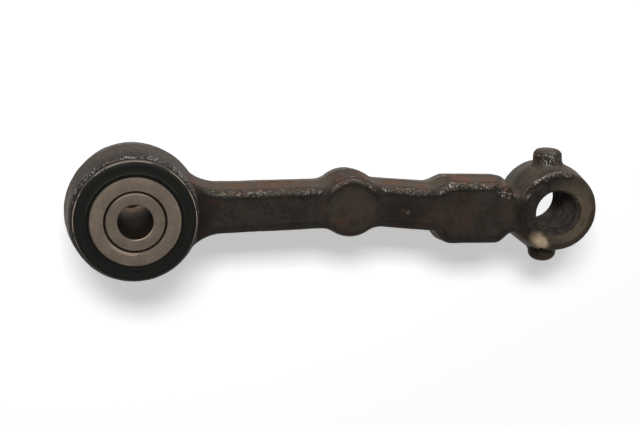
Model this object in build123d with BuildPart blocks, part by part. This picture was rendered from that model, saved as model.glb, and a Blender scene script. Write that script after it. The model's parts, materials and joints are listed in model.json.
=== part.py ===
from build123d import *
import os
from math import radians, sqrt, tan

# Steering idler arm, in millimetres. The origin is the centre of the pivot bush. X runs along
# the arm to the link eye, Y is the axis of the pivot bore, and Z is up as the arm stands on edge.

# Arm layout, seen square to the bores
centre_distance = 165.0     # pivot bore to link bore along X
link_drop = 2.7             # link bore below the pivot bore
forging_draft = 8.0         # slope of every forged side away from the mid-plane, in degrees
parting_land = 3.0          # flat strip left on the eyes where the flash was trimmed
blade_thickness = 21.0      # shank, pad and neck, front to back
blade_edge_round = 3.0      # rounding of the long forged edges

# Pivot bush, from the bolt hole outwards
bolt_hole_radius = 6.55     # clearance for a half inch bolt
tube_wall = 4.3
slip_clearance = 0.08       # running clearance between the pivot tube and its liner
liner_wall = 0.72
sleeve_wall = 5.1
rubber_wall = 5.15
shell_wall = 0.9
bush_length = 36.1          # over the faces of the sleeve and the rubber
tube_tail = 16.5            # pivot tube beyond the rear face of the bush
liner_recess = 1.0          # liner ends below the bush faces
rubber_lip = 1.2            # rubber flange over each end of the shell
shell_rim_show = 0.5        # shell end left bare outside the rubber flange
lip_groove_width = 1.4      # groove in the rubber face, beside the sleeve
lip_groove_depth = 0.5
steel_edge_break = 0.35     # small chamfer on the turned steel rings

# Pivot eye
eye_wall = 2.95             # forging outside the bush shell, at the mid-plane
pivot_eye_width = 30.7
pivot_eye_round = 3.0
pivot_flare_radius = 17.0   # concave flare of the outline from the pivot eye
pivot_saddle_rise = 4.0     # the shank's faces rise by this much inside the pivot eye
pivot_saddle_reach = 7.5    # the rise starts this far beyond the bush shell
flare_cover = 0.25          # the blade's flare ends this far under the skin of the pivot eye
flare_overlap = 3.0         # and the blade runs on inside the eye by this much

# Shank and boss
shank_root_height = 19.6    # shank at the pivot bore
shank_root_rise = 0.1       # shank centre line above the pivot bore
shank_boss_height = 18.3    # shank where it reaches the boss
shank_boss_drop = 0.2       # its centre line below the boss centre
waist_boss_height = 18.4    # waist where it leaves the boss towards the pad
waist_boss_rise = 0.9       # its centre line above the boss centre
waist_pad_height = 19.1     # waist where it meets the pad
waist_pad_drop = 1.4        # its centre line below the pivot bore
boss_distance = 82.8        # pivot bore to boss along X
boss_rise = 1.1             # boss above the pivot bore
boss_radius = 13.2
boss_stand_out = 0.8        # boss face beyond the shank face
boss_face_inset = 0.5       # boss face edge inside the rounded outline
boss_edge_round = 0.7
boss_flare_radius = 7.0

# Squared pad beside the link eye
pad_length = 30.0
pad_height = 27.0
pad_drop = 2.8              # pad centre below the pivot bore, at its waist end
pad_fall = 0.6              # further drop to its link end
pad_ramp = 6.2              # length of the slope from the waist up to the pad
pad_heel = 4.0              # length of the slope from the waist down to the pad
pad_undercut = 2.6          # the lower end corner stops short of the upper one
pad_to_link = 18.8          # square end of the pad to the link bore
pad_corner_radius = 5.2
pad_heel_radius = 8.0
pad_flare_radius = 5.0
pad_root_radius = 2.0

# Link eye
thread_minor_radius = 8.7   # crest radius of the internal thread
thread_entry_chamfer = 0.5
link_wall = 8.85            # forging outside the thread, at the mid-plane
link_eye_width = 27.2
link_eye_round = 2.0
link_eye_offset = 0.9       # the eye's outside is this far off its bore, away from the pad
link_eye_rise = 0.3         # and this far above it
link_saddle_step = 0.9      # the neck's faces rise to this far below the link eye's faces
link_saddle_reach = 6.5     # length of the rise
link_saddle_to_link = 11.0  # its top to the link bore
neck_height = 18.1          # neck between the pad and the link eye
neck_drop = 0.6             # its centre line below the link bore
neck_to_link = 16.2         # neck's narrowest place to the link bore
neck_spread = 38.8          # fall of the neck's lower edge towards the lower lug, in degrees
neck_reach = 6.3            # square end of the blade, inside the link eye, to the link bore
notch_radius = 1.5
lug_radius = 5.9            # where the lug leaves the link eye
lug_draft = 3.0             # degrees
lug_end_round = 2.6         # upper lug
lug_foot_round = 4.0        # lower lug, which is domed

# Working values that leave no mark on the part
cutter_reach = 80.0         # cutting shapes reach this far, past the whole width of the forging
selection_margin = 0.5      # how closely an edge or corner is picked out by its place or radius

# Sizes worked out from the ones above
slope = tan(radians(forging_draft))
half_blade = blade_thickness / 2
half_pivot_root = half_blade + pivot_saddle_rise
half_link_root = link_eye_width / 2 - link_saddle_step
half_bush = bush_length / 2
half_shell = half_bush - rubber_lip
tube_radius = bolt_hole_radius + tube_wall
liner_bore_radius = tube_radius + slip_clearance
sleeve_bore_radius = liner_bore_radius + liner_wall
sleeve_radius = sleeve_bore_radius + sleeve_wall
rubber_radius = sleeve_radius + rubber_wall
shell_radius = rubber_radius + shell_wall
flange_radius = shell_radius - shell_rim_show
pivot_eye_radius = shell_radius + eye_wall
link_eye_radius = thread_minor_radius + link_wall
lug_reach = pivot_eye_radius - link_drop    # the lower lug is level with the pivot eye
lug_core_radius = lug_radius + link_eye_radius * tan(radians(lug_draft))
boss_face_radius = boss_radius - half_blade * slope - boss_face_inset
pad_end = centre_distance - pad_to_link
pad_start = pad_end - pad_length
pad_top = pad_height / 2 - pad_drop
pad_bottom = -pad_height / 2 - pad_drop
neck_x = centre_distance - neck_to_link
neck_centre = -link_drop - neck_drop

pivot_centre = (0, 0)
boss_centre = (boss_distance, boss_rise)
link_centre = (centre_distance, -link_drop)
link_eye_centre = (centre_distance + link_eye_offset, link_eye_rise - link_drop)


def eye_section(radius, width, edge_round):
    """Half section of a forged eye, with drafted flanks that meet at the parting land."""
    face_radius = radius - (width - parting_land) / 2 * slope
    with BuildSketch() as section:
        Polygon(
            (0, -width / 2),
            (face_radius, -width / 2),
            (radius, -parting_land / 2),
            (radius, parting_land / 2),
            (face_radius, width / 2),
            (0, width / 2),
            align=None,
        )
        rims = section.vertices().filter_by(
            lambda vertex: abs(vertex.X - face_radius) < selection_margin
        )
        fillet(rims, edge_round)
    return section.sketch


def corner(sketch, point):
    """The sketch's vertex nearest a point."""
    return sketch.vertices().sort_by_distance((point[0], point[1], 0))[0]


def flare_touch(eye_radius, strip_height, flare_radius):
    """Distance along X from an eye's centre to where a flare from a centred strip touches it."""
    reach = eye_radius + flare_radius
    return eye_radius * sqrt(reach**2 - (strip_height / 2 + flare_radius) ** 2) / reach


# Front outline of the blade at its mid-plane: shank, boss, waist, pad and neck
shank_centre = boss_rise - shank_boss_drop
waist_centre = boss_rise + waist_boss_rise
pivot_core_radius = pivot_eye_radius - flare_cover
waist_foot_top = (pad_start, waist_pad_height / 2 - waist_pad_drop)
waist_foot_bottom = (pad_start, -waist_pad_height / 2 - waist_pad_drop)
pad_top_left = (pad_start + pad_ramp, pad_top)
pad_top_right = (pad_end, pad_top - pad_fall)
pad_bottom_right = (pad_end - pad_undercut, pad_bottom - pad_fall)
pad_bottom_left = (pad_start + pad_heel, pad_bottom)
neck_top = (neck_x, neck_centre + neck_height / 2)
neck_bottom = (neck_x, neck_centre - neck_height / 2)
neck_fall = neck_to_link * tan(radians(neck_spread))
with BuildSketch(Plane.XZ) as front_outline:
    Polygon(
        (0, shank_root_rise + shank_root_height / 2),
        (boss_distance, shank_centre + shank_boss_height / 2),
        (boss_distance, shank_centre - shank_boss_height / 2),
        (0, shank_root_rise - shank_root_height / 2),
        align=None,
    )
    Polygon(
        (boss_distance, waist_centre + waist_boss_height / 2),
        waist_foot_top,
        pad_top_left,
        pad_top_right,
        neck_top,
        (centre_distance, neck_top[1]),
        (centre_distance, neck_bottom[1] - neck_fall),
        neck_bottom,
        pad_bottom_right,
        pad_bottom_left,
        waist_foot_bottom,
        (boss_distance, waist_centre - waist_boss_height / 2),
        align=None,
    )
    with Locations(pivot_centre):
        Circle(pivot_core_radius)
    with Locations(boss_centre):
        Circle(boss_radius)
    for point, radius in (
        ((pivot_core_radius, shank_root_height / 2), pivot_flare_radius),
        ((pivot_core_radius, -shank_root_height / 2), pivot_flare_radius),
        ((boss_distance - boss_radius, shank_boss_height / 2), boss_flare_radius),
        ((boss_distance - boss_radius, -shank_boss_height / 2), boss_flare_radius),
        ((boss_distance + boss_radius, shank_boss_height / 2), boss_flare_radius),
        ((boss_distance + boss_radius, -shank_boss_height / 2), boss_flare_radius),
        (waist_foot_top, pad_flare_radius),
        (waist_foot_bottom, pad_root_radius),
        (pad_top_left, pad_corner_radius),
        (pad_top_right, pad_corner_radius),
        (pad_bottom_right, pad_corner_radius),
        (pad_bottom_left, pad_heel_radius),
        (neck_top, notch_radius),
        (neck_bottom, notch_radius),
    ):
        fillet(corner(front_outline, point), radius)
    with Locations(pivot_centre):
        Rectangle(cutter_reach, cutter_reach, align=(Align.MAX, Align.CENTER), mode=Mode.SUBTRACT)

# Top outline of the blade: its faces rise to meet the wider eyes
flare_start = flare_touch(pivot_core_radius, shank_root_height, pivot_flare_radius)
blade_start = flare_start - flare_overlap
blade_end = centre_distance - neck_reach
link_saddle_top = centre_distance - link_saddle_to_link
with BuildSketch(Plane.XY) as top_outline:
    with BuildLine():
        pivot_rise = TangentArc(
            (shell_radius + pivot_saddle_reach, half_blade),
            (blade_start, half_pivot_root),
            tangent=(-1, 0),
        )
        link_rise = TangentArc(
            (link_saddle_top - link_saddle_reach, half_blade),
            (link_saddle_top, half_link_root),
            tangent=(1, 0),
        )
        Line(pivot_rise @ 0, link_rise @ 0)
        Polyline(
            pivot_rise @ 1,
            (blade_start, 0),
            (blade_end, 0),
            (blade_end, half_link_root),
            link_rise @ 1,
        )
    make_face()
    mirror(about=Plane.XZ)

with BuildPart() as blade:
    extrude(
        front_outline.sketch,
        amount=half_pivot_root,
        taper=forging_draft,
        both=True,
    )
    extrude(top_outline.sketch, amount=cutter_reach, both=True, mode=Mode.INTERSECT)
    long_rims = (
        blade.edges()
        .filter_by(Axis.Z, reverse=True)
        .filter_by(lambda edge: abs(edge.center().Y) > half_blade - selection_margin)
        .filter_by(lambda edge: blade_start < edge.center().X - selection_margin < link_saddle_top)
    )
    fillet(long_rims, blade_edge_round)

# Forging: the blade with a flat disc on each side of the boss, the two eyes and the two lugs
with BuildPart() as boss_disc:
    with BuildSketch(Plane.XZ):
        with Locations(boss_centre):
            Circle(boss_face_radius)
    extrude(amount=half_blade + boss_stand_out, both=True)
    fillet(boss_disc.edges().filter_by(GeomType.CIRCLE), boss_edge_round)

with BuildPart() as lugs:
    with BuildSketch(Plane(origin=(centre_distance, 0, -link_drop))):
        Circle(lug_core_radius)
    extrude(amount=lug_reach, taper=lug_draft, both=True)
    fillet(lugs.edges().group_by(Axis.Z)[-1], lug_end_round)
    fillet(lugs.edges().group_by(Axis.Z)[0], lug_foot_round)

with BuildPart() as arm_forging:
    add(blade.part)
    add(boss_disc.part)
    with BuildSketch(Plane.XY):
        add(eye_section(pivot_eye_radius, pivot_eye_width, pivot_eye_round))
    revolve(axis=Axis.Y)
    with BuildSketch(Plane(origin=(link_eye_centre[0], 0, link_eye_centre[1]))):
        add(eye_section(link_eye_radius, link_eye_width, link_eye_round))
    revolve(axis=Axis((link_eye_centre[0], 0, link_eye_centre[1]), (0, 1, 0)))
    add(lugs.part)
    with BuildSketch(Plane.XZ):
        with Locations(pivot_centre):
            Circle(shell_radius)
        with Locations(link_centre):
            Circle(thread_minor_radius)
    extrude(amount=cutter_reach, both=True, mode=Mode.SUBTRACT)
    thread_ends = (
        arm_forging.edges()
        .filter_by(GeomType.CIRCLE)
        .filter_by(lambda edge: abs(edge.radius - thread_minor_radius) < selection_margin)
    )
    chamfer(thread_ends, thread_entry_chamfer)
arm_forging.part.label = "arm_forging"

# Bush, from the outside in
with BuildPart() as bush_shell:
    with BuildSketch(Plane.XZ):
        Circle(shell_radius)
        Circle(rubber_radius, mode=Mode.SUBTRACT)
    extrude(amount=half_shell, both=True)
bush_shell.part.label = "bush_shell"

with BuildPart() as bush_rubber:
    with BuildSketch(Plane.XY):
        groove_radius = sleeve_radius + lip_groove_width
        groove_floor = half_bush - lip_groove_depth
        Polygon(
            (sleeve_radius, 0),
            (sleeve_radius, groove_floor),
            (groove_radius, groove_floor),
            (groove_radius, half_bush),
            (flange_radius, half_bush),
            (flange_radius, half_shell),
            (rubber_radius, half_shell),
            (rubber_radius, 0),
            align=None,
        )
        mirror(about=Plane.XZ)
    revolve(axis=Axis.Y)
bush_rubber.part.label = "bush_rubber"

with BuildPart() as bearing_sleeve:
    with BuildSketch(Plane.XZ):
        Circle(sleeve_radius)
        Circle(sleeve_bore_radius, mode=Mode.SUBTRACT)
    extrude(amount=half_bush, both=True)
    chamfer(bearing_sleeve.edges().filter_by(GeomType.CIRCLE), steel_edge_break)
bearing_sleeve.part.label = "bearing_sleeve"

with BuildPart() as slip_liner:
    with BuildSketch(Plane.XZ):
        Circle(sleeve_bore_radius)
        Circle(liner_bore_radius, mode=Mode.SUBTRACT)
    extrude(amount=half_bush - liner_recess, both=True)
slip_liner.part.label = "slip_liner"

with BuildPart() as pivot_tube:
    with BuildSketch(Plane.XZ.offset(half_bush)):
        Circle(tube_radius)
        Circle(bolt_hole_radius, mode=Mode.SUBTRACT)
    extrude(amount=-(bush_length + tube_tail))
    chamfer(pivot_tube.edges().filter_by(GeomType.CIRCLE), steel_edge_break)
pivot_tube.part.label = "pivot_tube"

os.makedirs("parts", exist_ok=True)
export_step(arm_forging.part, "parts/arm_forging.step")
export_step(bush_shell.part, "parts/bush_shell.step")
export_step(bush_rubber.part, "parts/bush_rubber.step")
export_step(bearing_sleeve.part, "parts/bearing_sleeve.step")
export_step(slip_liner.part, "parts/slip_liner.step")
export_step(pivot_tube.part, "parts/pivot_tube.step")
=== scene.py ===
"""Looks of a forged idler arm with a rubber bush and a threaded link eye, on its CAD frame."""

import json
import math
from functools import cached_property

import bmesh
import bpy
from bpy.props import FloatProperty, FloatVectorProperty, IntProperty, PointerProperty
from mathutils import Euler, Matrix, Vector, noise
from mathutils.geometry import intersect_point_line


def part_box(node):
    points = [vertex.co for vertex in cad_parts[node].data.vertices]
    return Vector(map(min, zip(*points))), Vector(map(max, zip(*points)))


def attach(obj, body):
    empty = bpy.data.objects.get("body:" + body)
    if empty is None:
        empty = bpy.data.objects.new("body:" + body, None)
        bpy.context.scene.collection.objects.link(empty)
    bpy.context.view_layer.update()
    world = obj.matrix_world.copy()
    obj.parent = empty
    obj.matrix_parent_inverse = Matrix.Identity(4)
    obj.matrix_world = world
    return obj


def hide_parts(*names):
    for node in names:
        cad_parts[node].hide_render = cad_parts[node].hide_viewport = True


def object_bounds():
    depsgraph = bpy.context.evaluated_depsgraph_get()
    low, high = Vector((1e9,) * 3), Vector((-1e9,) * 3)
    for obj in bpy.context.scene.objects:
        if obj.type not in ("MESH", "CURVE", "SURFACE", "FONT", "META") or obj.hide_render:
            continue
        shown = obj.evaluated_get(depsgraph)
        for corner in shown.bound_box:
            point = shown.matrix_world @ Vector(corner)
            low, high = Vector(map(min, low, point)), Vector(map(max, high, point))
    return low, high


bl_info = {
    "name": "Forged Idler Arm",
    "version": (1, 0, 0),
    "blender": (4, 5, 0),
    "location": "View3D > Sidebar > Idler Arm",
    "description": "Builds the skin, bush and materials of a forged idler arm, and a stage for it",
    "category": "Object",
}

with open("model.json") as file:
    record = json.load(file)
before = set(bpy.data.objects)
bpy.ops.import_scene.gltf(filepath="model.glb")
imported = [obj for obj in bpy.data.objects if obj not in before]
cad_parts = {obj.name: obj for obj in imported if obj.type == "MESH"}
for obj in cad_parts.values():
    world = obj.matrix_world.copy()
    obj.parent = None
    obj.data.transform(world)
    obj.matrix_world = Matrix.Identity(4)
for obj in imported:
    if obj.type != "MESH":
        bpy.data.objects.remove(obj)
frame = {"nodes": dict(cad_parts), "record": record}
cad_low, cad_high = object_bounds()

forging_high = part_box("arm_forging")[1]
rubber_low, rubber_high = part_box("bush_rubber")
shell_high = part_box("bush_shell")[1]
sleeve_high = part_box("bearing_sleeve")[1]
liner_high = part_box("slip_liner")[1]
tube_low, tube_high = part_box("pivot_tube")
mounts = {mount["name"]: mount for mount in frame["record"]["mounts"]}
link_radius = mounts["link_thread"]["dims"]["r_mm"] / 1000
link_centre = (mounts["link_thread"]["pos_m"][0], mounts["link_thread"]["pos_m"][2])
bolt_radius = mounts["pivot_bore"]["dims"]["r_mm"] / 1000

# The forging, in metres
PIVOT_EYE_HALF = 0.01535  # half the width of the pivot eye
LINK_EYE_HALF = 0.0136  # half the width of the link eye
PIVOT_PLUG_GROWTH = 0.0002  # how far the plugs that close the bores run into the steel
LINK_PLUG_GROWTH = 0.0008
CUT_BEYOND = 0.004  # how far the bores' cutters stand out of the forging
THREAD_DEPTH = 0.5413  # of a 60 degree thread, as a share of its pitch
THREAD_OVERLAP = 0.12  # how far the thread's cutter stands into the hole, as a share of the pitch
THREAD_STEPS = 72  # steps in a turn of that cutter
SLOW_WAVES = 70  # waves in a metre of the faces' unevenness
PIT_WAVES = 480  # and of their pits
MARK_SEARCH = 0.012  # no forging mark reaches further from its start
CALM_ROUNDS = 14  # smoothing of the copy that edges are told by
FULL_EDGE = 0.00028  # a vertex this far out of that copy counts as a full edge

# The bush, in metres
SHELL_WALL = 0.0009  # the bush's steel shell
SOFT_EDGE = 0.6  # rounding of the edges beside the liner, as a share of the ring edge
LINER_GAP = 0.00008  # between the tube and the liner
LINER_SUNK = 0.0006  # the liner's edge below its faces in the CAD
BORE_MARGIN = 0.0006  # how near the bolt hole's wall a face has its material

# The stage
ARM_MIDDLE = 0.08  # along X, in metres
TABLE_GAP = 0.0001  # between the arm and the table, in metres
PHOTO_WIDTH = 640  # pixels
SENSOR_WIDTH = 36.0  # millimetres
BUSH_LEFT = 184.5  # how far the bush's middle is left of the photograph's, in pixels
BUSH_BELOW = 10.0  # and how far below it

# Fixed tints that the colours in the settings are mixed with
WHITE = (1.0, 1.0, 1.0)
GREY_SCALE = (0.027, 0.027, 0.0245)
# Dust and painted light, for faces that look up or sideways
DUST_AND_LIT_TOP = (0.0445, 0.0284, 0.0150)
PALE_DUST_AND_GLINT = (0.13, 0.085, 0.055)
RUST_SPECK = (0.05, 0.022, 0.012)
SHELL_BROWN = (0.022, 0.017, 0.013)
SHELL_HIGHLIGHT = (0.50, 0.40, 0.31)
FLOOR_IN_SHADE = (0.45, 0.45, 0.45)
SHADE_BEHIND_BOLT_HOLE = (0.060, 0.045, 0.030)
WARM_FILL = (1.0, 0.99, 0.97)


# Settings


class ForgingSettings(bpy.types.PropertyGroup):
    """Shape and colours of the forged arm."""

    voxel: FloatProperty(
        name="Skin Detail", description="Size of the cells that the forged skin is rebuilt from",
        default=0.00062, min=0.0004, max=0.002, precision=5, unit="LENGTH",
    )
    unevenness: FloatProperty(
        name="Unevenness", description="How far the forged faces wander from flat",
        default=0.00013, min=0.0, max=0.001, precision=5, unit="LENGTH",
    )
    grain: FloatProperty(
        name="Grain", description="Height of the small pits and lumps in the skin",
        default=0.00004, min=0.0, max=0.0005, precision=5, unit="LENGTH",
    )
    thread_pitch: FloatProperty(
        name="Thread Pitch", description="Distance between the turns of the link eye's thread",
        default=0.0025, min=0.001, max=0.004, precision=5, unit="LENGTH",
    )
    scale_color: FloatVectorProperty(
        name="Forging Scale", description="Dark oxide on the forged faces",
        subtype="COLOR", size=3, min=0.0, max=1.0, default=(0.0315, 0.0260, 0.0215),
    )
    # Rubbed steel, which also makes the painted glints on the upper edges
    rubbed_glint_color: FloatVectorProperty(
        name="Rubbed Edges", description="Steel showing through where edges are rubbed",
        subtype="COLOR", size=3, min=0.0, max=1.0, default=(0.34, 0.318, 0.290),
    )
    rust_color: FloatVectorProperty(
        name="Rust", description="Light rust in patches",
        subtype="COLOR", size=3, min=0.0, max=1.0, default=(0.092, 0.035, 0.020),
    )
    worn_color: FloatVectorProperty(
        name="Worn Spot", description="Bright rubbed spot on the link eye",
        subtype="COLOR", size=3, min=0.0, max=1.0, default=(0.50, 0.385, 0.255),
    )


class BushSettings(bpy.types.PropertyGroup):
    """Shape and colours of the rubber bush and its steel rings."""

    segments: IntProperty(
        name="Ring Segments", description="Steps round each turned ring",
        default=160, min=48, max=256,
    )
    edge_round: FloatProperty(
        name="Ring Edge", description="Rounding of the turned steel edges",
        default=0.00038, min=0.0, max=0.001, precision=5, unit="LENGTH",
    )
    groove_width: FloatProperty(
        name="Groove Width", description="Groove in the rubber beside the bearing sleeve",
        default=0.0011, min=0.0003, max=0.003, precision=5, unit="LENGTH",
    )
    groove_depth: FloatProperty(
        name="Groove Depth", description="Depth of that groove below the rubber lip",
        default=0.0009, min=0.0001, max=0.003, precision=5, unit="LENGTH",
    )
    rubber_color: FloatVectorProperty(
        name="Rubber", description="Moulded rubber",
        subtype="COLOR", size=3, min=0.0, max=1.0, default=(0.0100, 0.0100, 0.0086),
    )
    steel_color: FloatVectorProperty(
        name="Turned Steel", description="Faces of the sleeve and the tube",
        subtype="COLOR", size=3, min=0.0, max=1.0, default=(0.142, 0.108, 0.080),
    )
    liner_color: FloatVectorProperty(
        name="Liner", description="Dark liner between the sleeve and the tube",
        subtype="COLOR", size=3, min=0.0, max=1.0, default=(0.007, 0.005, 0.004),
    )
    bore_color: FloatVectorProperty(
        name="Bolt Hole", description="Brown wall of the bolt hole",
        subtype="COLOR", size=3, min=0.0, max=1.0, default=(0.195, 0.135, 0.084),
    )


class StageSettings(bpy.types.PropertyGroup):
    """Floor, light and camera."""

    floor_color: FloatVectorProperty(
        name="Floor", description="Colour of the pale table",
        subtype="COLOR", size=3, min=0.0, max=1.0, default=(0.90, 0.90, 0.90),
    )
    floor_glow: FloatProperty(
        name="Floor Glow", description="White added to the table, which lightens the shadow",
        default=0.46, min=0.0, max=1.0, subtype="FACTOR",
    )
    key_power: FloatProperty(
        name="Key Light", description="Power of the long soft light over the arm",
        default=4.5, min=0.0, max=50.0, unit="POWER",
    )
    front_power: FloatProperty(
        name="Front Light", description="Power of the soft light above the camera",
        default=4.9, min=0.0, max=50.0, unit="POWER",
    )
    hole_power: FloatProperty(
        name="Hole Light", description="Power of the light in the rear end of the bolt hole",
        default=0.00048, min=0.0, max=0.1, precision=6, unit="POWER",
    )
    fill_level: FloatProperty(
        name="Fill", description="Brightness of the even light from all round",
        default=0.10, min=0.0, max=2.0,
    )
    azimuth: FloatProperty(
        name="Azimuth", description="Camera's turn about the vertical",
        default=math.radians(-11.41), subtype="ANGLE", precision=4,
    )
    elevation: FloatProperty(
        name="Elevation", description="Camera's height above the horizon",
        default=math.radians(14.11), subtype="ANGLE", precision=4,
    )
    roll: FloatProperty(
        name="Roll", description="Camera's lean",
        default=math.radians(1.02), subtype="ANGLE", precision=4,
    )
    distance: FloatProperty(
        name="Distance", description="Camera to the plane through the front of the bush",
        default=0.443, min=0.1, max=2.0, precision=4, unit="LENGTH",
    )
    lens: FloatProperty(
        name="Lens", description="Focal length in millimetres on a 36 mm sensor",
        default=68.29, min=20.0, max=300.0,
    )


# Materials


class Value:
    """A number that runs through a material's nodes and takes part in Python sums."""

    def __init__(self, paint, socket):
        self.paint = paint
        self.socket = socket

    def __add__(self, other):
        return self.paint.math("ADD", self, other)

    __radd__ = __add__

    def __sub__(self, other):
        return self.paint.math("SUBTRACT", self, other)

    def __rsub__(self, other):
        return self.paint.math("SUBTRACT", other, self)

    def __mul__(self, other):
        return self.paint.math("MULTIPLY", self, other)

    __rmul__ = __mul__

    def __or__(self, other):
        """The larger of two numbers."""
        return self.paint.math("MAXIMUM", self, other)

    __ror__ = __or__


class Paint:
    """One procedural material, or the world's surface, made node by node."""

    def __init__(self, name, kinds=None):
        self.material = (bpy.data.materials if kinds is None else kinds).new(name)
        self.material.use_nodes = True
        self.tree = self.material.node_tree
        self.tree.nodes.clear()

    @cached_property
    def place(self):
        """Object coordinates."""
        return self.node("ShaderNodeTexCoord").outputs["Object"]

    def node(self, kind, settings=None, sockets=None):
        """A node of a kind, with its settings first and then its sockets' values or links."""
        made = self.tree.nodes.new(kind)
        for key, value in (settings or {}).items():
            setattr(made, key, value)
        for key, value in (sockets or {}).items():
            value = getattr(value, "socket", value)
            if isinstance(value, bpy.types.NodeSocket):
                self.tree.links.new(value, made.inputs[key])
            else:
                made.inputs[key].default_value = value
        return made

    def math(self, operation, *values):
        """What a Math node makes of one or two numbers."""
        made = self.node("ShaderNodeMath", {"operation": operation}, dict(enumerate(values)))
        return Value(self, made.outputs[0])

    def vector(self, operation, sockets, output="Vector"):
        """What a Vector Math node makes of its sockets."""
        made = self.node("ShaderNodeVectorMath", {"operation": operation}, sockets)
        return made.outputs[output]

    def mix(self, share, first, second):
        """A colour between two colours; 6, 7 and 2 are the node's sockets for colours."""
        sockets = {0: share, 6: color(first), 7: color(second)}
        return self.node("ShaderNodeMix", {"data_type": "RGBA"}, sockets).outputs[2]

    def step(self, value, low, high):
        """0 below low, 1 above high, and a smooth rise between."""
        made = self.node(
            "ShaderNodeMapRange", {"interpolation_type": "SMOOTHSTEP", "clamp": True},
            {"Value": value, "From Min": low, "From Max": high},
        )
        return Value(self, made.outputs["Result"])

    def fall(self, value, low, high):
        """1 below low, 0 above high, and a smooth fall between."""
        return 1 - self.step(value, low, high)

    def band(self, value, rise, fall):
        """1 between a rise and a fall, each a low and a high limit."""
        return self.step(value, *rise) - self.step(value, *fall)

    def axis(self, name):
        """One of the object coordinates."""
        parts = self.node("ShaderNodeSeparateXYZ", None, {0: self.place})
        return Value(self, parts.outputs[name])

    def pivot_radius(self):
        """Distance from the pivot axis."""
        x, z = self.axis("X"), self.axis("Z")
        return self.math("SQRT", x * x + z * z)

    def attribute(self, name):
        """A number stored on the mesh."""
        made = self.node("ShaderNodeAttribute", {"attribute_name": name})
        return Value(self, made.outputs["Fac"])

    def noise(self, size, detail=3.0, roughness=0.6, place=None):
        """Soft noise with blotches of about the given size in metres."""
        sockets = {
            "Vector": place or self.place, "Scale": 1 / size,
            "Detail": detail, "Roughness": roughness,
        }
        return Value(self, self.node("ShaderNodeTexNoise", None, sockets).outputs["Fac"])

    def ragged(self, size, push):
        """Object coordinates pushed about by noise, for patches with uneven edges."""
        sockets = {"Vector": self.place, "Scale": 1 / size, "Detail": 3.0}
        pushed = self.node("ShaderNodeTexNoise", None, sockets).outputs["Color"]
        centred = self.vector("SUBTRACT", {0: pushed, 1: (0.5, 0.5, 0.5)})
        scaled = self.vector("SCALE", {0: centred, "Scale": push})
        return self.vector("ADD", {0: self.place, 1: scaled})

    def local(self, point, reach, turn=0.0, place=None):
        """Coordinates centred on a point in millimetres, turned in the front view, in reaches."""
        sockets = {
            "Vector": place or self.place, "Location": Vector(point) / 1000,
            "Rotation": (0.0, math.radians(turn), 0.0), "Scale": Vector(reach) / 1000,
        }
        return self.node("ShaderNodeMapping", {"vector_type": "TEXTURE"}, sockets).outputs[0]

    def patch(self, point, reach, turn=0.0, place=None):
        """1 in the middle of an oval patch and 0 at its edge, in millimetres and degrees."""
        away = self.vector("LENGTH", {0: self.local(point, reach, turn, place)}, "Value")
        return self.fall(Value(self, away), 0.35, 1.0)

    def bump(self, height, depth, strength, below=None):
        """A bumped normal; the height runs 0 to 1 over the depth in metres."""
        sockets = {"Height": height, "Distance": depth, "Strength": strength}
        if below is not None:
            sockets["Normal"] = below
        return self.node("ShaderNodeBump", None, sockets).outputs[0]

    def shader(self, kind, sockets=None):
        """What a shader node gives."""
        return self.node("ShaderNode" + kind, None, sockets).outputs[0]

    def blend(self, share, first, second):
        """A shader between two shaders."""
        return self.shader("MixShader", {0: share, 1: first, 2: second})

    def output(self, kind, surface):
        """Joins a shader to the output and hands back the material or the world."""
        self.node("ShaderNodeOutput" + kind, None, {"Surface": surface})
        return self.material

    def finish(self, **sockets):
        """Makes the surface of a piece, and hands back the material."""
        named = {key.replace("_", " "): value for key, value in sockets.items()}
        return self.output("Material", self.shader("BsdfPrincipled", named))


def color(value):
    """A colour with its alpha, or a socket as it is."""
    if isinstance(value, bpy.types.NodeSocket):
        return value
    return (*value[:3], 1.0)


def shade(tint, level):
    """A colour made darker or lighter."""
    return [part * level for part in tint]


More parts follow.
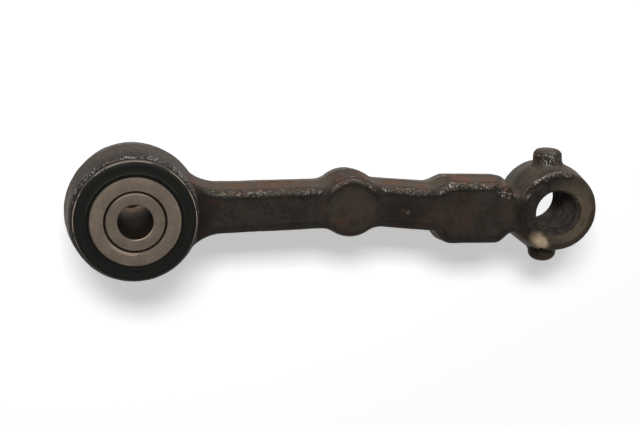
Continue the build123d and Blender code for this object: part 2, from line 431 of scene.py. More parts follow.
# Light rust on the forging: a point, the reach along X, Y and Z in millimetres, and its strength
RUST = (
    ((127.3, -5.0, 10.6), (8.0, 9.0, 3.0), 1.0),
    ((137.5, -8.0, 10.4), (5.5, 6.0, 3.0), 1.0),
    ((112.0, -7.0, 9.6), (5.0, 6.0, 4.0), 0.9),
    ((100.0, -5.0, 10.0), (9.0, 8.0, 3.0), 0.6),
    ((88.1, -5.0, 12.5), (6.5, 7.0, 4.0), 0.8),
    ((78.4, -9.0, 12.6), (6.0, 5.0, 3.0), 0.7),
    ((79.4, -11.0, -3.8), (5.5, 3.0, 3.2), 0.5),
    ((50.0, -3.0, 10.4), (26.0, 10.0, 3.5), 0.45),
    ((24.0, -9.0, 15.0), (10.0, 10.0, 8.0), 0.4),
    ((144.6, -9.5, 6.0), (2.6, 4.5, 5.0), 0.75),
    ((146.0, -11.0, -3.0), (3.0, 3.0, 9.0), 0.35),
    ((124.1, -10.5, -5.5), (2.6, 3.0, 1.4), 0.65),
    ((132.5, -10.5, -1.0), (2.6, 3.0, 3.0), 0.35),
    ((126.0, -10.5, 4.0), (3.5, 3.0, 3.5), 0.3),
    ((176.8, -13.6, -3.5), (4.0, 4.0, 6.5), 0.25),
    ((167.0, -13.6, -17.0), (7.0, 4.0, 3.5), 0.25),
    ((152.0, -8.0, -14.0), (5.0, 8.0, 4.0), 0.3),
    ((137.0, 6.0, 10.4), (9.0, 7.0, 4.0), 0.9),
    ((60.0, 8.0, 9.0), (14.0, 8.0, 6.0), 0.7),
    ((96.0, 10.5, 2.0), (10.0, 4.0, 8.0), 0.6),
    ((158.0, 13.0, 9.0), (8.0, 6.0, 6.0), 0.7),
    ((-14.0, 6.0, 21.0), (11.0, 9.0, 7.0), 0.4),
    ((6.0, 8.0, -25.0), (12.0, 9.0, 4.0), 0.6),
    ((118.0, 2.0, -14.0), (16.0, 12.0, 4.0), 0.6),
)

# Broad changes of tone: a point, the reach in millimetres, the strength and the colour
TONES = (
    ((171.5, -13.6, -5.0), (15.0, 5.0, 19.0), 0.62, (0.172, 0.136, 0.093)),
    ((174.6, -13.6, -1.5), (3.0, 4.0, 4.0), 0.5, (0.130, 0.080, 0.048)),
    ((173.0, -13.6, -10.0), (3.4, 4.0, 3.0), 0.4, (0.120, 0.078, 0.048)),
    ((82.8, -11.0, 1.0), (13.0, 4.0, 13.0), 0.75, (0.060, 0.046, 0.036)),
    ((122.0, -10.5, -4.0), (20.0, 4.0, 12.0), 0.45, (0.052, 0.038, 0.030)),
    ((145.0, -10.0, -2.0), (5.0, 4.0, 8.0), 0.5, (0.055, 0.044, 0.036)),
    ((104.0, -10.5, -1.0), (15.0, 4.0, 8.0), 0.6, (0.015, 0.012, 0.010)),
    # Painted light: a tan pool of light on the lower lug's front
    ((166.0, -5.0, -21.5), (5.0, 4.0, 4.0), 0.8, (0.080, 0.062, 0.040)),
    ((-25.5, -2.0, 2.0), (7.0, 18.0, 16.0), 0.8, (0.095, 0.066, 0.040)),
    ((153.0, -6.0, -16.5), (8.0, 14.0, 5.0), 0.7, (0.060, 0.030, 0.018)),
    ((119.5, -5.0, -14.0), (6.0, 12.0, 4.0), 0.7, (0.045, 0.028, 0.018)),
)

# Painted glints on rubbed places: a point, the reach in millimetres and its turn in the front view
GLINTS = (
    ((164.4, -5.6, 17.0), (5.4, 5.0, 3.8), 0.0),
    ((-16.8, -15.0, 17.4), (7.5, 4.0, 3.4), -45.0),
    ((-21.8, -15.0, 11.5), (4.5, 4.0, 2.4), -65.0),
    ((16.6, -15.0, 17.2), (7.5, 4.0, 2.6), 45.0),
    ((21.9, -15.0, 10.0), (6.0, 4.0, 2.2), 65.0),
    ((7.0, -15.0, 23.6), (6.0, 4.0, 2.0), 18.0),
    ((143.3, -10.5, 4.9), (3.6, 3.0, 1.8), 20.0),
    ((147.0, -10.9, 3.7), (3.8, 3.0, 1.7), 5.0),
    ((150.0, -12.2, 4.6), (2.6, 3.0, 1.8), -20.0),
)

# Pale specks on the front faces, dust and a few painted glints: a point and a size in millimetres
SPECKS = (
    ((136.8, -10.5, -13.3), 0.45), ((104.9, -10.5, -1.5), 1.1), ((172.6, -13.0, -6.9), 0.55),
    ((-24.0, -9.0, 9.0), 0.7), ((-22.3, -14.5, 4.6), 0.6), ((103.2, -10.5, -0.6), 0.6),
)

# The bright worn spot on the link eye: a point, the reach in millimetres, how far its edge
# wanders in metres and its strength; and its turn in the front view
WORN_SPOT = (
    ((158.5, -13.6, -14.3), (6.4, 5.5, 4.4), 0.0020, 0.6),
    ((159.3, -13.6, -14.6), (4.4, 4.4, 2.9), 0.0014, 0.5),
)
WORN_TURN = 47.0


def forging_material(look):
    """Dark forging scale with rubbed upper edges, light rust and one bright worn spot."""
    paint = Paint("forging_scale")
    scale = look.scale_color
    blotch = paint.noise(0.016, 4.0, 0.55)
    cloud = paint.noise(0.0042, 4.0, 0.62)
    grain = paint.noise(0.0011, 3.0, 0.65)
    speck = paint.noise(0.00062, 2.0)
    stand = paint.attribute("edge")
    radius = paint.pivot_radius()
    ragged = paint.ragged(0.0035, push=0.004)

    # The scale: clouds, greyer places, streaks across the blade, and a light and dark grain
    tone = paint.step(blotch * 0.5 + cloud * 0.5, 0.36, 0.66)
    base = paint.mix(tone, shade(scale, 0.74), shade(scale, 1.30))
    grey = paint.step(paint.noise(0.0085, 4.0, place=ragged), 0.50, 0.68)
    base = paint.mix(grey * 0.45, base, GREY_SCALE)
    streaks = paint.noise(1.0, place=paint.local((0.0, 0.0, 0.0), (9.0, 0.9, 9.0)))
    base = paint.mix(paint.step(streaks, 0.50, 0.70) * 0.4, base, shade(scale, 1.7))
    base = paint.mix(paint.step(grain, 0.52, 0.75) * 0.5, base, shade(scale, 2.0))
    base = paint.mix(paint.fall(grain, 0.30, 0.48) * 0.5, base, shade(scale, 0.35))

    # Dust and painted top light, less on the eyes; painted shade on the front of the pivot eye
    on_eye = paint.fall(radius, 0.026, 0.034)
    eyes = on_eye | paint.step(paint.axis("X"), 0.146, 0.152)
    dust_and_top_light = paint.attribute("up") * (0.45 + 0.55 * paint.step(cloud, 0.34, 0.60))
    base = paint.mix(dust_and_top_light * (0.66 - 0.26 * eyes), base, DUST_AND_LIT_TOP)
    # Painted shade: the front of the pivot eye's rim made darker
    depth = paint.axis("Y") + (cloud - 0.5) * 0.006
    base = paint.mix(on_eye * paint.fall(depth, -0.0110, -0.0040) * 0.72, base, shade(scale, 0.4))

    for point, reach, strength, tint in TONES:
        toned = paint.patch(point, reach, place=ragged) * paint.step(cloud, 0.20, 0.50)
        base = paint.mix(toned * strength, base, tint)

    # Rust in its patches, and a thin film of it all over
    rust = 0.0
    for point, reach, strength in RUST:
        rust = rust | paint.patch(point, reach, place=ragged) * strength
    rust = rust * paint.step(cloud * 0.7 + grain * 0.3, 0.34, 0.58)
    rust = rust | paint.step(paint.noise(0.006, 5.0, 0.65), 0.52, 0.70) * 0.28
    base = paint.mix(rust * 0.68, base, look.rust_color)

    # Darker in hollows, and painted shade in lines beside the edges and round the bush
    base = paint.mix(paint.step(0 - stand, 0.15, 1.1) * 0.6, base, shade(scale, 0.32))
    beside = paint.band(stand, (0.04, 0.18), (0.28, 0.50))
    bush_ring_shade = paint.fall(radius, 0.02302, 0.02332)
    base = paint.mix(beside * 0.55 | bush_ring_shade * 0.7, base, shade(scale, 0.38))

    # Steel rubbed bare in flecks, on upper edges and listed spots, as wear and painted glints
    broken = 0.4 + 0.6 * paint.step(paint.noise(0.010), 0.42, 0.58)
    rim = paint.step(stand, 0.28, 0.62) * broken
    rim = rim * paint.step(cloud * 0.6 + blotch * 0.4, 0.33, 0.52)
    frayed = paint.ragged(0.0018, push=0.0016)
    for point, reach, turn in GLINTS:
        rim = rim | paint.patch(point, reach, turn, frayed)
    flecks = paint.step(speck * 0.62 + grain * 0.38, 0.49, 0.62)
    rubbed = rim * flecks * (1 - bush_ring_shade)
    base = paint.mix(rubbed * 0.85, base, look.rubbed_glint_color)

    # The bright worn spot, with streaks along it
    worn = 0.0
    for point, reach, push, strength in WORN_SPOT:
        worn = worn + paint.patch(point, reach, WORN_TURN, paint.ragged(0.0022, push)) * strength
    along = paint.local(WORN_SPOT[0][0], (3.4, 3.0, 0.8), WORN_TURN)
    streaks = paint.noise(1.0, 2.0, 0.5, along)
    worn = worn * (0.5 + 0.5 * paint.step(streaks * 0.7 + grain * 0.3, 0.25, 0.65))
    base = paint.mix(worn * 0.9, base, look.worn_color)

    # Pale specks: dust, and a few painted glints
    dust = 0.0
    frayed = paint.ragged(0.0008, push=0.0007)
    for point, size in SPECKS:
        dust = dust | paint.patch(point, (size, size, size), place=frayed)
    base = paint.mix(dust * 0.8, base, PALE_DUST_AND_GLINT)

    bright = rubbed | worn * 0.5
    normal = paint.bump(blotch * 0.15 + cloud * 0.35 + grain * 0.5, depth=0.0005, strength=0.6)
    pitted = speck * (0.4 + rim * 1.6)
    return paint.finish(
        Base_Color=base,
        Metallic=bright * 0.6,
        Roughness=0.48 + 0.14 * (tone - 0.5) + rust * 0.2 - bright * 0.16,
        Specular_IOR_Level=0.04,
        Normal=paint.bump(pitted, depth=0.00022, strength=0.8, below=normal),
    )


def thread_material(look):
    """Brown, dull steel in the threaded hole."""
    paint = Paint("thread_rust")
    cloud = paint.noise(0.004, 4.0)
    grain = paint.noise(0.0009)
    scale = look.scale_color
    base = paint.mix(paint.step(cloud, 0.35, 0.65), shade(scale, 0.7), shade(scale, 1.9))
    return paint.finish(
        Base_Color=paint.mix(paint.step(grain, 0.5, 0.7) * 0.35, base, look.rust_color),
        Roughness=0.55 + 0.2 * cloud,
        Specular_IOR_Level=0.08,
        Normal=paint.bump(grain, depth=0.0003, strength=0.6),
    )


def rubber_material(look):
    """Dull black moulded rubber with a little dust.

    A painted highlight runs along the top of its inner lip.
    """
    paint = Paint("bush_rubber")
    cloud = paint.noise(0.005, 4.0)
    grain = paint.noise(0.0007)
    dust = paint.step(cloud, 0.45, 0.75) * paint.step(grain, 0.4, 0.7)
    base = paint.mix(dust * 0.4, look.rubber_color, shade(look.rubber_color, 2.2))
    # Painted highlight: the lip paler along its top
    lip = paint.band(paint.pivot_radius(), (0.01785, 0.01805), (0.0183, 0.0186))
    lip = lip * paint.step(paint.axis("Z"), -0.004, 0.010) * paint.step(cloud, 0.30, 0.50)
    return paint.finish(
        Base_Color=paint.mix(lip * 0.7, base, shade(look.rubber_color, 3.2)),
        Roughness=0.52 + 0.2 * cloud,
        Specular_IOR_Level=0.06,
        Normal=paint.bump(cloud * 0.5 + grain * 0.5, depth=0.0002, strength=0.5),
    )


def turned_steel_material(look, name, level, worn_and_glint_edges):
    """Turned steel gone dull, with fine rings, stains, a few rust specks and bright edges.

    A bright edge, worn and painted highlight, is a ring between two radii, its patch and
    brightness.
    """
    paint = Paint(name)
    radius = paint.pivot_radius()
    rings = paint.node(
        "ShaderNodeTexNoise", {"noise_dimensions": "1D"},
        {"W": radius, "Scale": 5200.0, "Detail": 2.0},
    )
    stain = paint.noise(0.006, 4.0)
    grain = paint.noise(0.0009)
    specks = paint.step(paint.noise(0.0011, 2.0, 0.5), 0.68, 0.75)
    steel = shade(look.steel_color, level)
    base = paint.mix(paint.step(stain, 0.35, 0.7), shade(steel, 0.84), shade(steel, 1.12))
    base = paint.mix(paint.step(grain, 0.50, 0.75) * 0.4, base, shade(steel, 0.55))
    base = paint.mix(paint.fall(grain, 0.28, 0.46) * 0.35, base, shade(steel, 1.5))
    # Bright edges: wear and painted highlights
    for low, high, patch, brightness in worn_and_glint_edges:
        edge = paint.band(radius, (low, low + 0.0002), (high - 0.0003, high))
        base = paint.mix(edge * paint.patch(*patch) * 0.85, base, shade(steel, brightness))
    return paint.finish(
        Base_Color=paint.mix(specks * 0.75, base, RUST_SPECK),
        Metallic=0.5 - specks * 0.45,
        Roughness=0.44 + 0.14 * stain + specks * 0.3,
        Specular_IOR_Level=0.4,
        Normal=paint.bump(
            Value(paint, rings.outputs["Fac"]) * 0.4 + grain * 0.6, depth=0.00007, strength=0.8,
        ),
    )


def bore_material(look):
    """Brown, dull wall of the bolt hole, darker towards its front with oil and painted shade."""
    paint = Paint("bore_rust")
    cloud = paint.noise(0.004, 4.0)
    brown = look.bore_color
    base = paint.mix(paint.step(cloud, 0.3, 0.7), shade(brown, 0.8), shade(brown, 1.5))
    # Oil and painted shade: darker towards the front of the hole
    oil_and_shade = paint.fall(paint.axis("Y"), -0.004, 0.024)
    return paint.finish(
        Base_Color=paint.mix(oil_and_shade * 0.97, base, shade(brown, 0.04)),
        Roughness=0.7 + 0.15 * cloud,
        Specular_IOR_Level=0.08,
        Normal=paint.bump(paint.noise(0.0009), depth=0.0002, strength=0.6),
    )


def shell_material():
    """Brown steel shell with a thin bright line on top, rubbed steel and a painted highlight."""
    paint = Paint("shell_edge")
    # Rubbed steel and painted highlight: a thin bright line along the top, none low down
    line = paint.band(paint.pivot_radius(), (0.02240, 0.02248), (0.02262, 0.02270))
    line = line * paint.step(paint.axis("Z"), -0.016, 0.004)
    line = line * paint.step(paint.noise(0.0045), 0.40, 0.50)
    line = line * (1 - paint.patch((-18.4, -16.9, 12.6), (3.0, 4.0, 3.0)))
    grain = paint.noise(0.0008, 2.0)
    return paint.finish(
        Base_Color=paint.mix(line * (0.45 + 0.55 * grain), SHELL_BROWN, SHELL_HIGHLIGHT),
        Metallic=0.1 + 0.5 * line,
        Roughness=0.55 - 0.18 * line,
        Specular_IOR_Level=0.3,
        Normal=paint.bump(grain, depth=0.00008, strength=0.6),
    )


def liner_material(look):
    """Dark liner in the shade of the gap."""
    paint = Paint("dark_liner")
    cloud = paint.noise(0.003)
    base = paint.mix(cloud, look.liner_color, shade(look.liner_color, 2.0))
    return paint.finish(Base_Color=base, Roughness=0.75 + 0.15 * cloud, Specular_IOR_Level=0.08)


# Shapes


# Forging marks beside the link eye and on the pivot eye, in millimetres: the start and end of
# a line, its reach and its height
MARKS = (
    ((149.6, -12.0, 6.2), (153.0, -12.8, 8.6), 1.3, 0.35),
    ((153.0, -12.8, 8.6), (158.4, -13.2, 11.0), 1.3, 0.45),
    ((152.4, -12.6, 5.0), (153.6, -12.8, 6.4), 1.3, -0.7),
    ((155.2, -13.2, 7.0), (156.6, -13.4, 8.2), 1.1, -0.6),
    ((157.8, -13.4, 9.0), (159.4, -13.4, 9.2), 0.9, -0.45),
    ((159.2, -13.4, 10.6), (160.8, -13.4, 8.6), 0.9, 0.3),
    ((-11.9, -16.0, -20.9), (-10.7, -16.0, -18.9), 0.75, -0.5),
    ((-20.3, -15.6, 12.6), (-18.6, -15.6, 11.4), 0.9, -0.5),
)

# Rings of skin to soften, where the lugs and the boss meet the arm: the centre, the number of the
# axis, the inner and outer distance from it, the lowest and highest place along it, all in
# millimetres, and the rounds
SOFTENED = (
    ((165.0, 0.0, 0.0), 2, 4.2, 9.6, 11.6, 17.6, 14),
    ((165.0, 0.0, 0.0), 2, 4.2, 9.6, -23.0, -16.8, 14),
    ((82.8, 0.0, 1.1), 1, 7.8, 13.4, -12.0, -9.4, 16),
    ((82.8, 0.0, 1.1), 1, 7.8, 13.4, 9.4, 12.0, 16),
)

# Places where the edges stay dark, without rubbing or painted glint: the centre and the reach in
# millimetres, and the share of rubbing left
NO_RUB_OR_GLINT = (
    ((165.0, 0.0, 25.0), 9.5, 0.0), ((180.5, -10.0, 8.0), 13.0, 0.1),
    ((150.0, -12.0, -3.0), 7.5, 0.35), ((158.0, -13.4, 4.6), 5.0, 0.1),
    ((83.0, -11.0, -9.0), 14.0, 0.2), ((82.0, -11.0, -2.0), 12.0, 0.2),
)


def place_piece(name, shape, body, slot, node, *materials):
    """Makes an object of a finished bmesh, gives it its body and materials, and hides its CAD
    node.

    The slot is not used.
    """
    mesh = bpy.data.meshes.new(name)
    shape.to_mesh(mesh)
    shape.free()
    piece = bpy.data.objects.new(name, mesh)
    bpy.context.scene.collection.objects.link(piece)
    for material in materials:
        mesh.materials.append(material)
    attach(piece, body)
    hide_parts(node)
    return piece


def finish_inside(shape, centre, radius, low, high):
    """Gives the second material to the faces nearer an axis along Y than a radius."""
    for face in shape.faces:
        middle = face.calc_center_median()
        away = math.hypot(middle.x - centre[0], middle.z - centre[1])
        face.material_index = int(away < radius and low < middle.y < high)


def smooth_faces(shape, degrees):
    """Smooth shading that stays sharp where faces meet at more than an angle."""
    for face in shape.faces:
        face.smooth = True
    limit = math.radians(degrees)
    for edge in shape.edges:
        edge.smooth = edge.calc_face_angle(0.0) < limit


def both_ends(front):
    """A half section's corners at the front of a ring, and the same again at its rear."""
    return front + [(radius, -along, rounding) for radius, along, rounding in reversed(front)]


def turned_ring(corners, segments):
    """A ring turned about the pivot axis; a corner is its radius, place along Y and rounding."""
    shape = bmesh.new()
    verts = [shape.verts.new((radius, along, 0.0)) for radius, along, _ in corners]
    shape.faces.new(verts)
    for vert, (_, _, rounding) in zip(verts, corners):
        if rounding > 0:
            bmesh.ops.bevel(
                shape, geom=[vert], offset=rounding, offset_type="OFFSET", segments=4,
                profile=0.5, affect="VERTICES", material=-1,
            )
    bmesh.ops.delete(shape, geom=shape.faces[:], context="FACES_ONLY")
    bmesh.ops.spin(
        shape, geom=shape.verts[:] + shape.edges[:], cent=(0, 0, 0), axis=(0, 1, 0),
        angle=math.tau, steps=segments, use_merge=True,
    )
    bmesh.ops.remove_doubles(shape, verts=shape.verts, dist=1e-7)
    bmesh.ops.recalc_face_normals(shape, faces=shape.faces)
    smooth_faces(shape, degrees=40)
    return shape


def solid_copy(node):
    """A CAD node's mesh as one welded bmesh."""
    shape = bmesh.new()
    shape.from_mesh(frame["nodes"][node].data)
    bmesh.ops.remove_doubles(shape, verts=shape.verts, dist=2e-6)
    return shape


def add_drum(shape, radius, half, centre=(0.0, 0.0), segments=96):
    """Adds a closed drum that lies along Y, as far before the middle plane as behind it."""
    turn = Matrix.Rotation(math.radians(-90), 4, "X")
    bmesh.ops.create_cone(
        shape, cap_ends=True, segments=segments, radius1=radius, radius2=radius, depth=2 * half,
        matrix=Matrix.Translation((centre[0], 0.0, centre[1])) @ turn,
    )


def thread_cutter(centre, crest, pitch, half):
    """A closed helical ridge with 60 degree flanks that cuts a right-hand thread into a hole."""
    root = crest + THREAD_DEPTH * pitch
    inner = crest - THREAD_OVERLAP * pitch
    flat = pitch / 8
    slant = (root - inner) * math.tan(math.radians(30))
    start = -half - pitch
    shape = bmesh.new()
    ridge = [
        shape.verts.new((centre[0] + radius, start + along, centre[1]))
        for radius, along in (
            (inner, -flat / 2 - slant), (root, -flat / 2),
            (root, flat / 2), (inner, flat / 2 + slant),
        )
    ]
    edges = [shape.edges.new((ridge[i - 1], ridge[i])) for i in range(len(ridge))]
    turns = 2 * half / pitch + 2
    steps = int(turns * THREAD_STEPS)
    bmesh.ops.spin(
        shape, geom=ridge + edges, cent=(centre[0], start, centre[1]), axis=(0, 1, 0),
        dvec=(0, turns * pitch / steps, 0), angle=turns * math.tau, steps=steps,
    )
    bmesh.ops.holes_fill(shape, edges=[e for e in shape.edges if e.is_boundary], sides=0)
    bmesh.ops.recalc_face_normals(shape, faces=shape.faces)
    return shape


def cut_away(piece, cutter_shape):
    """Cuts a closed shape out of a piece."""
    mesh = bpy.data.meshes.new("cutter")
    cutter_shape.to_mesh(mesh)
    cutter_shape.free()
    cutter = bpy.data.objects.new("cutter", mesh)
    bpy.context.scene.collection.objects.link(cutter)
    cut = piece.modifiers.new("cut", "BOOLEAN")
    cut.operation, cut.solver, cut.object = "DIFFERENCE", "EXACT", cutter
    settle(piece)
    bpy.data.objects.remove(cutter)
    bpy.data.meshes.remove(mesh)


def settle(piece):
    """Replaces a piece's mesh by what its modifiers make of it."""
    bpy.context.view_layer.update()
    seen = piece.evaluated_get(bpy.context.evaluated_depsgraph_get())
    mesh = bpy.data.meshes.new_from_object(seen)
    if not mesh.polygons:
        raise RuntimeError("nothing is left of " + piece.name)
    old = piece.data
    piece.modifiers.clear()
    piece.data = mesh
    bpy.data.meshes.remove(old)


def smooth_rounds(shape, verts, rounds):
    """Smooths some of a shape's vertices a number of times."""
    for _ in range(rounds):
        bmesh.ops.smooth_vert(
            shape, verts=verts, factor=0.5, use_axis_x=True, use_axis_y=True, use_axis_z=True,
        )


def ring_verts(shape, centre, axis, inner, outer, low, high):
    """Vertices in a ring about an axis through a point, between two distances and two heights."""
    centre, found = Vector(centre) / 1000, []
    for vert in shape.verts:
        offset = vert.co - centre
        height = offset[axis] * 1000
        offset[axis] = 0.0
        if low < height < high and inner < offset.length * 1000 < outer:
            found.append(vert)
    return found


def stamp_marks(shape):
    """Raises ridges and sinks pockets along the marks."""
    shape.normal_update()
    for start, end, reach, height in MARKS:
        start, end = Vector(start) / 1000, Vector(end) / 1000
        for vert in shape.verts:
            if (vert.co - start).length > MARK_SEARCH:
                continue
            nearest, share = intersect_point_line(vert.co, start, end)
            nearest = start.lerp(end, min(1.0, max(0.0, share)))
            away = (vert.co - nearest).length * 1000 / reach
            if away < 1.0:
                vert.co += vert.normal * (height / 1000 * (1 - away * away) ** 2)


def roughen(shape, look):
    """Gives forged faces their slow unevenness and small pits."""
    # After the place, fractal takes the roughness, the step between octaves and their number
    shape.normal_update()
    for vert in shape.verts:
        slow = noise.fractal(vert.co * SLOW_WAVES, 1.0, 2.0, 3)
        pits = noise.fractal(vert.co * PIT_WAVES, 0.8, 2.1, 3)
        vert.co += vert.normal * (slow * look.unevenness + pits * look.grain)


def mark_edges(shape):
    """Stores how far each vertex stands out, most where it faces up, and how far it faces up."""
    calm = shape.copy()
    smooth_rounds(calm, calm.verts[:], CALM_ROUNDS)
    shape.normal_update()
    layer = shape.verts.layers.float.new("edge")
    upward = shape.verts.layers.float.new("up")
    calm.verts.ensure_lookup_table()
    for vert in shape.verts:
        stand = (vert.co - calm.verts[vert.index].co).dot(vert.normal) / FULL_EDGE
        # Rubbing and painted glint in full on edges that face up, an eighth on those that face
        # down
        facing = min(1.0, max(0.12, 0.5 + 1.3 * vert.normal.z))
        for centre, reach, share in NO_RUB_OR_GLINT:
            away = (vert.co * 1000 - Vector(centre)).length / reach
            facing = min(facing, share + max(0.0, away - 0.8) * 5)
        vert[layer] = stand * facing if stand > 0 else stand
        # How far a vertex faces up or sideways, where dust and painted top light go
        sideways = 0.9 * abs(vert.normal.x) - 0.1
        vert[upward] = min(1.0, max(0.0, 2.0 * vert.normal.z - 0.6, sideways))
    calm.free()


# Operators


class IDLER_OT_forging(bpy.types.Operator):
    """Builds the forged arm with its uneven skin and threaded link eye"""

    bl_idname = "idler.build_forging"
    bl_label = "Build Forged Arm"

    def execute(self, context):
        look = context.scene.idler_forging
        bush_radius = shell_high.x
        beyond = forging_high.y + CUT_BEYOND

        # The solid with its bores plugged, rebuilt as an even skin
        shape = solid_copy("arm_forging")
        add_drum(shape, bush_radius + PIVOT_PLUG_GROWTH, PIVOT_EYE_HALF)
        add_drum(shape, link_radius + LINK_PLUG_GROWTH, LINK_EYE_HALF, link_centre)
        piece = place_piece(
            "forged_arm", shape, "arm", "forging", "arm_forging",
            forging_material(look), thread_material(look),
        )
        rebuild = piece.modifiers.new("skin", "REMESH")
        rebuild.mode, rebuild.voxel_size, rebuild.adaptivity = "VOXEL", look.voxel, 0.0
        settle(piece)

        # The forged look of the skin
        shape = bmesh.new()
        shape.from_mesh(piece.data)
        smooth_rounds(shape, shape.verts[:], rounds=2)
        for *ring, rounds in SOFTENED:
            smooth_rounds(shape, ring_verts(shape, *ring), rounds)
        stamp_marks(shape)
        roughen(shape, look)
        shape.to_mesh(piece.data)
        shape.free()

        # The machined bores and the thread
        for radius, centre, segments in (
            (bush_radius, (0.0, 0.0), 160), (link_radius, link_centre, 96),
        ):
            bore = bmesh.new()
            add_drum(bore, radius, beyond, centre, segments)
            cut_away(piece, bore)
        cut_away(piece, thread_cutter(link_centre, link_radius, look.thread_pitch, LINK_EYE_HALF))

        # What the materials go by; the thread's own reaches just past its roots
        shape = bmesh.new()
        shape.from_mesh(piece.data)
        mark_edges(shape)
        smooth_faces(shape, degrees=38)
        roots = link_radius + 0.6 * look.thread_pitch
        depth = LINK_EYE_HALF - 0.0002
        finish_inside(shape, link_centre, roots, -depth, depth)
        shape.to_mesh(piece.data)
        shape.free()
        return {"FINISHED"}


class IDLER_OT_bush(bpy.types.Operator):
    """Builds the bush: shell edge, rubber, bearing sleeve and liner"""

    bl_idname = "idler.build_bush"
    bl_label = "Build Bush"

    def execute(self, context):
        look = context.scene.idler_bush
        half, step = rubber_high.y, shell_high.y
        outer, sleeve, liner = rubber_high.x, sleeve_high.x, liner_high.x
        shell = shell_high.x
        inner_shell = shell - SHELL_WALL

        # From the groove beside the sleeve, over the lip and the dished face, to the shell
        bottom = half - look.groove_depth
        lip = sleeve + look.groove_width
        rubber = [
            (sleeve, bottom, 0.0),
            (lip - 0.0005, bottom, 0.0002),
            (lip, half, 0.00025),
            (lip + 0.0006, half, 0.00025),
            (lip + 0.0012, half - 0.0005, 0.0004),
            (outer - 0.0008, half - 0.0003, 0.0006),
            (outer, half - 0.0008, 0.0003),
            (outer, step, 0.0),
            (inner_shell, step, 0.0),
        ]
        shape = turned_ring(both_ends(rubber), look.segments)
        black = rubber_material(look)
        place_piece("rubber_ring", shape, "arm", "bush_rubber", "bush_rubber", black)

        section = [(inner_shell, step, 0.0), (shell, step, 0.00015)]
        shape = turned_ring(both_ends(section), look.segments)
        place_piece("shell_ring", shape, "arm", "shell_steel", "bush_shell", shell_material())

        edge = look.edge_round
        section = [(liner, half, edge * SOFT_EDGE), (sleeve, half, edge)]
        shape = turned_ring(both_ends(section), look.segments)
        # Wear and painted highlight by the liner, low on the left, and on the rim on the right
        worn_and_glint_edges = (
            (liner, liner + 0.0012, ((-4.4, -18.0, -11.4), (8.5, 3.0, 6.0), 20.0), 2.0),
            (sleeve - 0.0006, sleeve + 0.0003, ((16.0, -18.0, 1.0), (7.0, 3.0, 15.0)), 1.6),
        )
        steel = turned_steel_material(look, "sleeve_steel", 0.88, worn_and_glint_edges)
        place_piece("sleeve_ring", shape, "arm", "turned_steel", "bearing_sleeve", steel)

        deep = liner_high.y - LINER_SUNK
        section = [(tube_high.x + LINER_GAP, deep, 0.0001), (liner, deep, 0.0001)]
        shape = turned_ring(both_ends(section), look.segments)
        place_piece("liner_ring", shape, "arm", "liner", "slip_liner", liner_material(look))
        return {"FINISHED"}


class IDLER_OT_tube(bpy.types.Operator):
    """Builds the pivot tube that the bracket bolt clamps"""

    bl_idname = "idler.build_tube"
    bl_label = "Build Pivot Tube"

    def execute(self, context):
        look = context.scene.idler_bush
        outer, inner = tube_high.x, bolt_radius
        front, rear = tube_low.y, tube_high.y
        edge, soft = look.edge_round, look.edge_round * SOFT_EDGE
        section = [
            (inner, rear, edge), (outer, rear, soft), (outer, front, soft), (inner, front, edge),
        ]
        shape = turned_ring(section, look.segments)
        finish_inside(
            shape, (0.0, 0.0), inner + BORE_MARGIN, front + BORE_MARGIN, rear + BORE_MARGIN,
        )
        # Wear and painted highlight round the hole, low on the right, and along the top of the rim
        worn_and_glint_edges = (
            (inner - 0.0002, inner + 0.0006, ((3.4, -18.0, -5.6), (6.5, 3.0, 4.2), -32.0), 2.6),
            (outer - 0.0005, outer + 0.0003, ((-2.0, -18.0, 10.0), (13.0, 3.0, 5.0)), 2.0),
        )
        steel = turned_steel_material(look, "tube_steel", 0.78, worn_and_glint_edges)
        place_piece(
            "tube_ring", shape, "tube", "turned_steel", "pivot_tube", steel, bore_material(look),
        )
        return {"FINISHED"}


class IDLER_OT_stage(bpy.types.Operator):
    """Builds the floor, the soft light and the camera"""

    bl_idname = "idler.build_stage"
    bl_label = "Build Stage"

    def execute(self, context):
        stage = context.scene.idler_stage
        build_floor(context.scene, stage)
        build_world(context.scene, stage)
        build_lamps(context.scene, stage)
        build_camera(context.scene, stage)
        return {"FINISHED"}


# The stage


def seen_rays(paint):
    """1 for rays that show the background: straight from the camera, mirrored or let through."""
    path = paint.node("ShaderNodeLightPath")
    straight, mirrored, through = (
        Value(paint, path.outputs[name])
        for name in ("Is Camera Ray", "Is Glossy Ray", "Is Transmission Ray")
    )
    return straight | mirrored | through


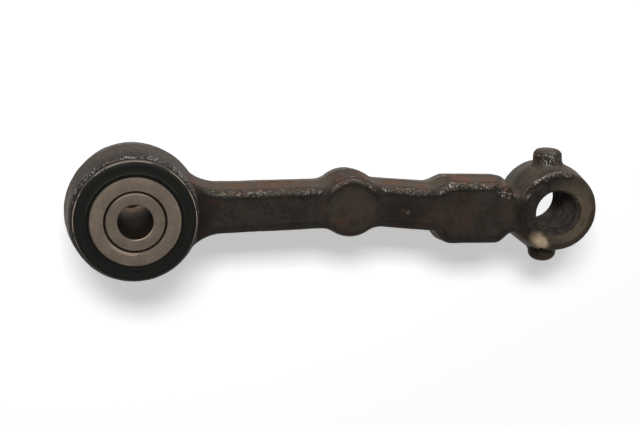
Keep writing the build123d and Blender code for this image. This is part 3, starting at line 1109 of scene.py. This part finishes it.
def build_floor(scene, stage):
    """A pale table that the arm lies on its back on, seen from the front only.

    It keeps the shadow of the front light. The key light, behind it, shines through it.
    """
    level = cad_high.y + TABLE_GAP
    shape = bmesh.new()
    upright = Matrix.Rotation(math.radians(90), 4, "X")
    bmesh.ops.create_grid(
        shape, x_segments=1, y_segments=1, size=3.0,
        matrix=Matrix.Translation((ARM_MIDDLE, level, 0.0)) @ upright,
    )
    mesh = bpy.data.meshes.new("floor")
    shape.to_mesh(mesh)
    shape.free()
    floor = bpy.data.objects.new("floor", mesh)
    scene.collection.objects.link(floor)

    paint = Paint("pale_floor")
    plain = paint.shader("Emission", {"Color": color(WHITE), "Strength": 1.0})
    glow = paint.shader("Emission", {"Color": color(WHITE), "Strength": stage.floor_glow})
    # Painted shade: the table behind the bolt hole glows a faint brown, which also lights the hole
    brown = paint.shader("Emission", {"Color": color(SHADE_BEHIND_BOLT_HOLE), "Strength": 1.0})
    pale = paint.shader("BsdfDiffuse", {"Color": color(stage.floor_color)})
    dim = paint.shader("BsdfDiffuse", {"Color": color(FLOOR_IN_SHADE)})

    # What is seen: lit near the arm, plain white further off, a faint brown glow behind the bolt
    # hole as painted shade, and painted white light over the arm's shadow behind the link bore
    away = 1 - paint.patch((ARM_MIDDLE * 1000, level * 1000, -10.0), (300.0, 300.0, 200.0))
    covered = paint.fall(paint.pivot_radius(), 0.0085, 0.0105)
    # Painted light: white over the arm's shadow where the table shows through the link bore
    painted_light_behind_link = paint.patch((178.6, level * 1000, -11.0), (16.0, 16.0, 16.0)) * 0.75
    seen = paint.blend(away, paint.shader("AddShader", {0: glow, 1: pale}), plain)
    seen = paint.blend(covered, seen, brown)
    seen = paint.blend(painted_light_behind_link, seen, plain)
    top = paint.blend(seen_rays(paint), dim, seen)

    # Clear from behind, and clear to lamps except behind the bolt hole
    behind = Value(paint, paint.node("ShaderNodeNewGeometry").outputs["Backfacing"])
    to_lamp = Value(paint, paint.node("ShaderNodeLightPath").outputs["Is Shadow Ray"])
    clear = behind | to_lamp * (1 - covered)
    surface = paint.blend(clear, top, paint.shader("BsdfTransparent"))
    mesh.materials.append(paint.output("Material", surface))


def build_world(scene, stage):
    """Even light from all round, and a white background."""
    paint = Paint("studio", bpy.data.worlds)
    even = paint.shader("Background", {"Color": color(WARM_FILL), "Strength": stage.fill_level})
    white = paint.shader("Background", {"Color": color(WHITE), "Strength": 1.0})
    scene.world = paint.output("World", paint.blend(seen_rays(paint), even, white))


def add_lamp(scene, name, shape, size, power, place, turn):
    """An area lamp of a size, at a place, turned from facing down."""
    data = bpy.data.lights.new(name, "AREA")
    data.shape, data.energy = shape, power
    data.size, data.size_y = size
    lamp = bpy.data.objects.new(name, data)
    lamp.location = place
    lamp.rotation_mode = "QUATERNION"
    lamp.rotation_quaternion = turn
    scene.collection.objects.link(lamp)
    return lamp


def build_lamps(scene, stage):
    """A long soft key over the arm, a soft light above the camera, and a faint one in the hole."""
    aim = Vector((ARM_MIDDLE, 0.0, 0.0))
    for name, place, size, power in (
        ("key_light", Vector((0.10, 0.085, 0.50)), (0.62, 0.08), stage.key_power),
        ("front_light", Vector((-0.060, -0.718, 0.392)), (0.27, 0.15), stage.front_power),
    ):
        turn = (aim - place).to_track_quat("-Z", "Y")
        add_lamp(scene, name, "RECTANGLE", size, power, place, turn)

    # The light that comes in at the rear end of the bolt hole, facing its front
    place = (0.0, tube_high.y - 0.0030, 0.0)
    turn = Euler((math.radians(-90), 0.0, 0.0)).to_quaternion()
    hole_light = add_lamp(
        scene, "hole_light", "DISK", (0.0105, 0.0105), stage.hole_power, place, turn,
    )
    hole_light.visible_camera = False


def build_camera(scene, stage):
    """The camera in the photograph's place, with its perspective and lean."""
    turn, rise, lean = stage.azimuth, stage.elevation, stage.roll
    back = Vector(
        (math.sin(turn) * math.cos(rise), -math.cos(turn) * math.cos(rise), math.sin(rise))
    )
    right = (-back).cross(Vector((0, 0, 1))).normalized()
    up = right.cross(-back)
    right, up = (
        right * math.cos(lean) + up * math.sin(lean),
        up * math.cos(lean) - right * math.sin(lean),
    )
    focus = Vector((0.0, rubber_low.y, 0.0))
    pixel = stage.distance * SENSOR_WIDTH / stage.lens / PHOTO_WIDTH
    aside = right * (BUSH_LEFT * pixel) + up * (BUSH_BELOW * pixel)
    place = focus + back * stage.distance + aside
    data = bpy.data.cameras.new("photo_camera")
    data.sensor_width, data.lens = SENSOR_WIDTH, stage.lens
    data.clip_start, data.clip_end = 0.01, 50.0
    camera = bpy.data.objects.new("photo_camera", data)
    facing = Matrix((right, up, back)).transposed().to_4x4()
    camera.matrix_world = Matrix.Translation(place) @ facing
    scene.collection.objects.link(camera)
    scene.camera = camera
    scene.view_settings.view_transform = "Standard"


class IDLER_PT_panel(bpy.types.Panel):
    """Lists the pieces of the idler arm with their settings"""

    bl_label = "Idler Arm"
    bl_idname = "IDLER_PT_panel"
    bl_space_type = "VIEW_3D"
    bl_region_type = "UI"
    bl_category = "Idler Arm"

    def draw(self, context):
        for settings, operators in (
            (context.scene.idler_forging, (IDLER_OT_forging,)),
            (context.scene.idler_bush, (IDLER_OT_bush, IDLER_OT_tube)),
            (context.scene.idler_stage, (IDLER_OT_stage,)),
        ):
            box = self.layout.box()
            for name in settings.__annotations__:
                box.prop(settings, name)
            for operator in operators:
                box.operator(operator.bl_idname)


classes = (
    ForgingSettings, BushSettings, StageSettings,
    IDLER_OT_forging, IDLER_OT_bush, IDLER_OT_tube, IDLER_OT_stage, IDLER_PT_panel,
)


def register():
    for kind in classes:
        bpy.utils.register_class(kind)
    bpy.types.Scene.idler_forging = PointerProperty(type=ForgingSettings)
    bpy.types.Scene.idler_bush = PointerProperty(type=BushSettings)
    bpy.types.Scene.idler_stage = PointerProperty(type=StageSettings)


def unregister():
    del bpy.types.Scene.idler_stage
    del bpy.types.Scene.idler_bush
    del bpy.types.Scene.idler_forging
    for kind in reversed(classes):
        bpy.utils.unregister_class(kind)


def main():
    """Builds everything in order."""
    register()
    bpy.ops.idler.build_forging()
    bpy.ops.idler.build_bush()
    bpy.ops.idler.build_tube()
    bpy.ops.idler.build_stage()


if __name__ == "__main__":
    main()
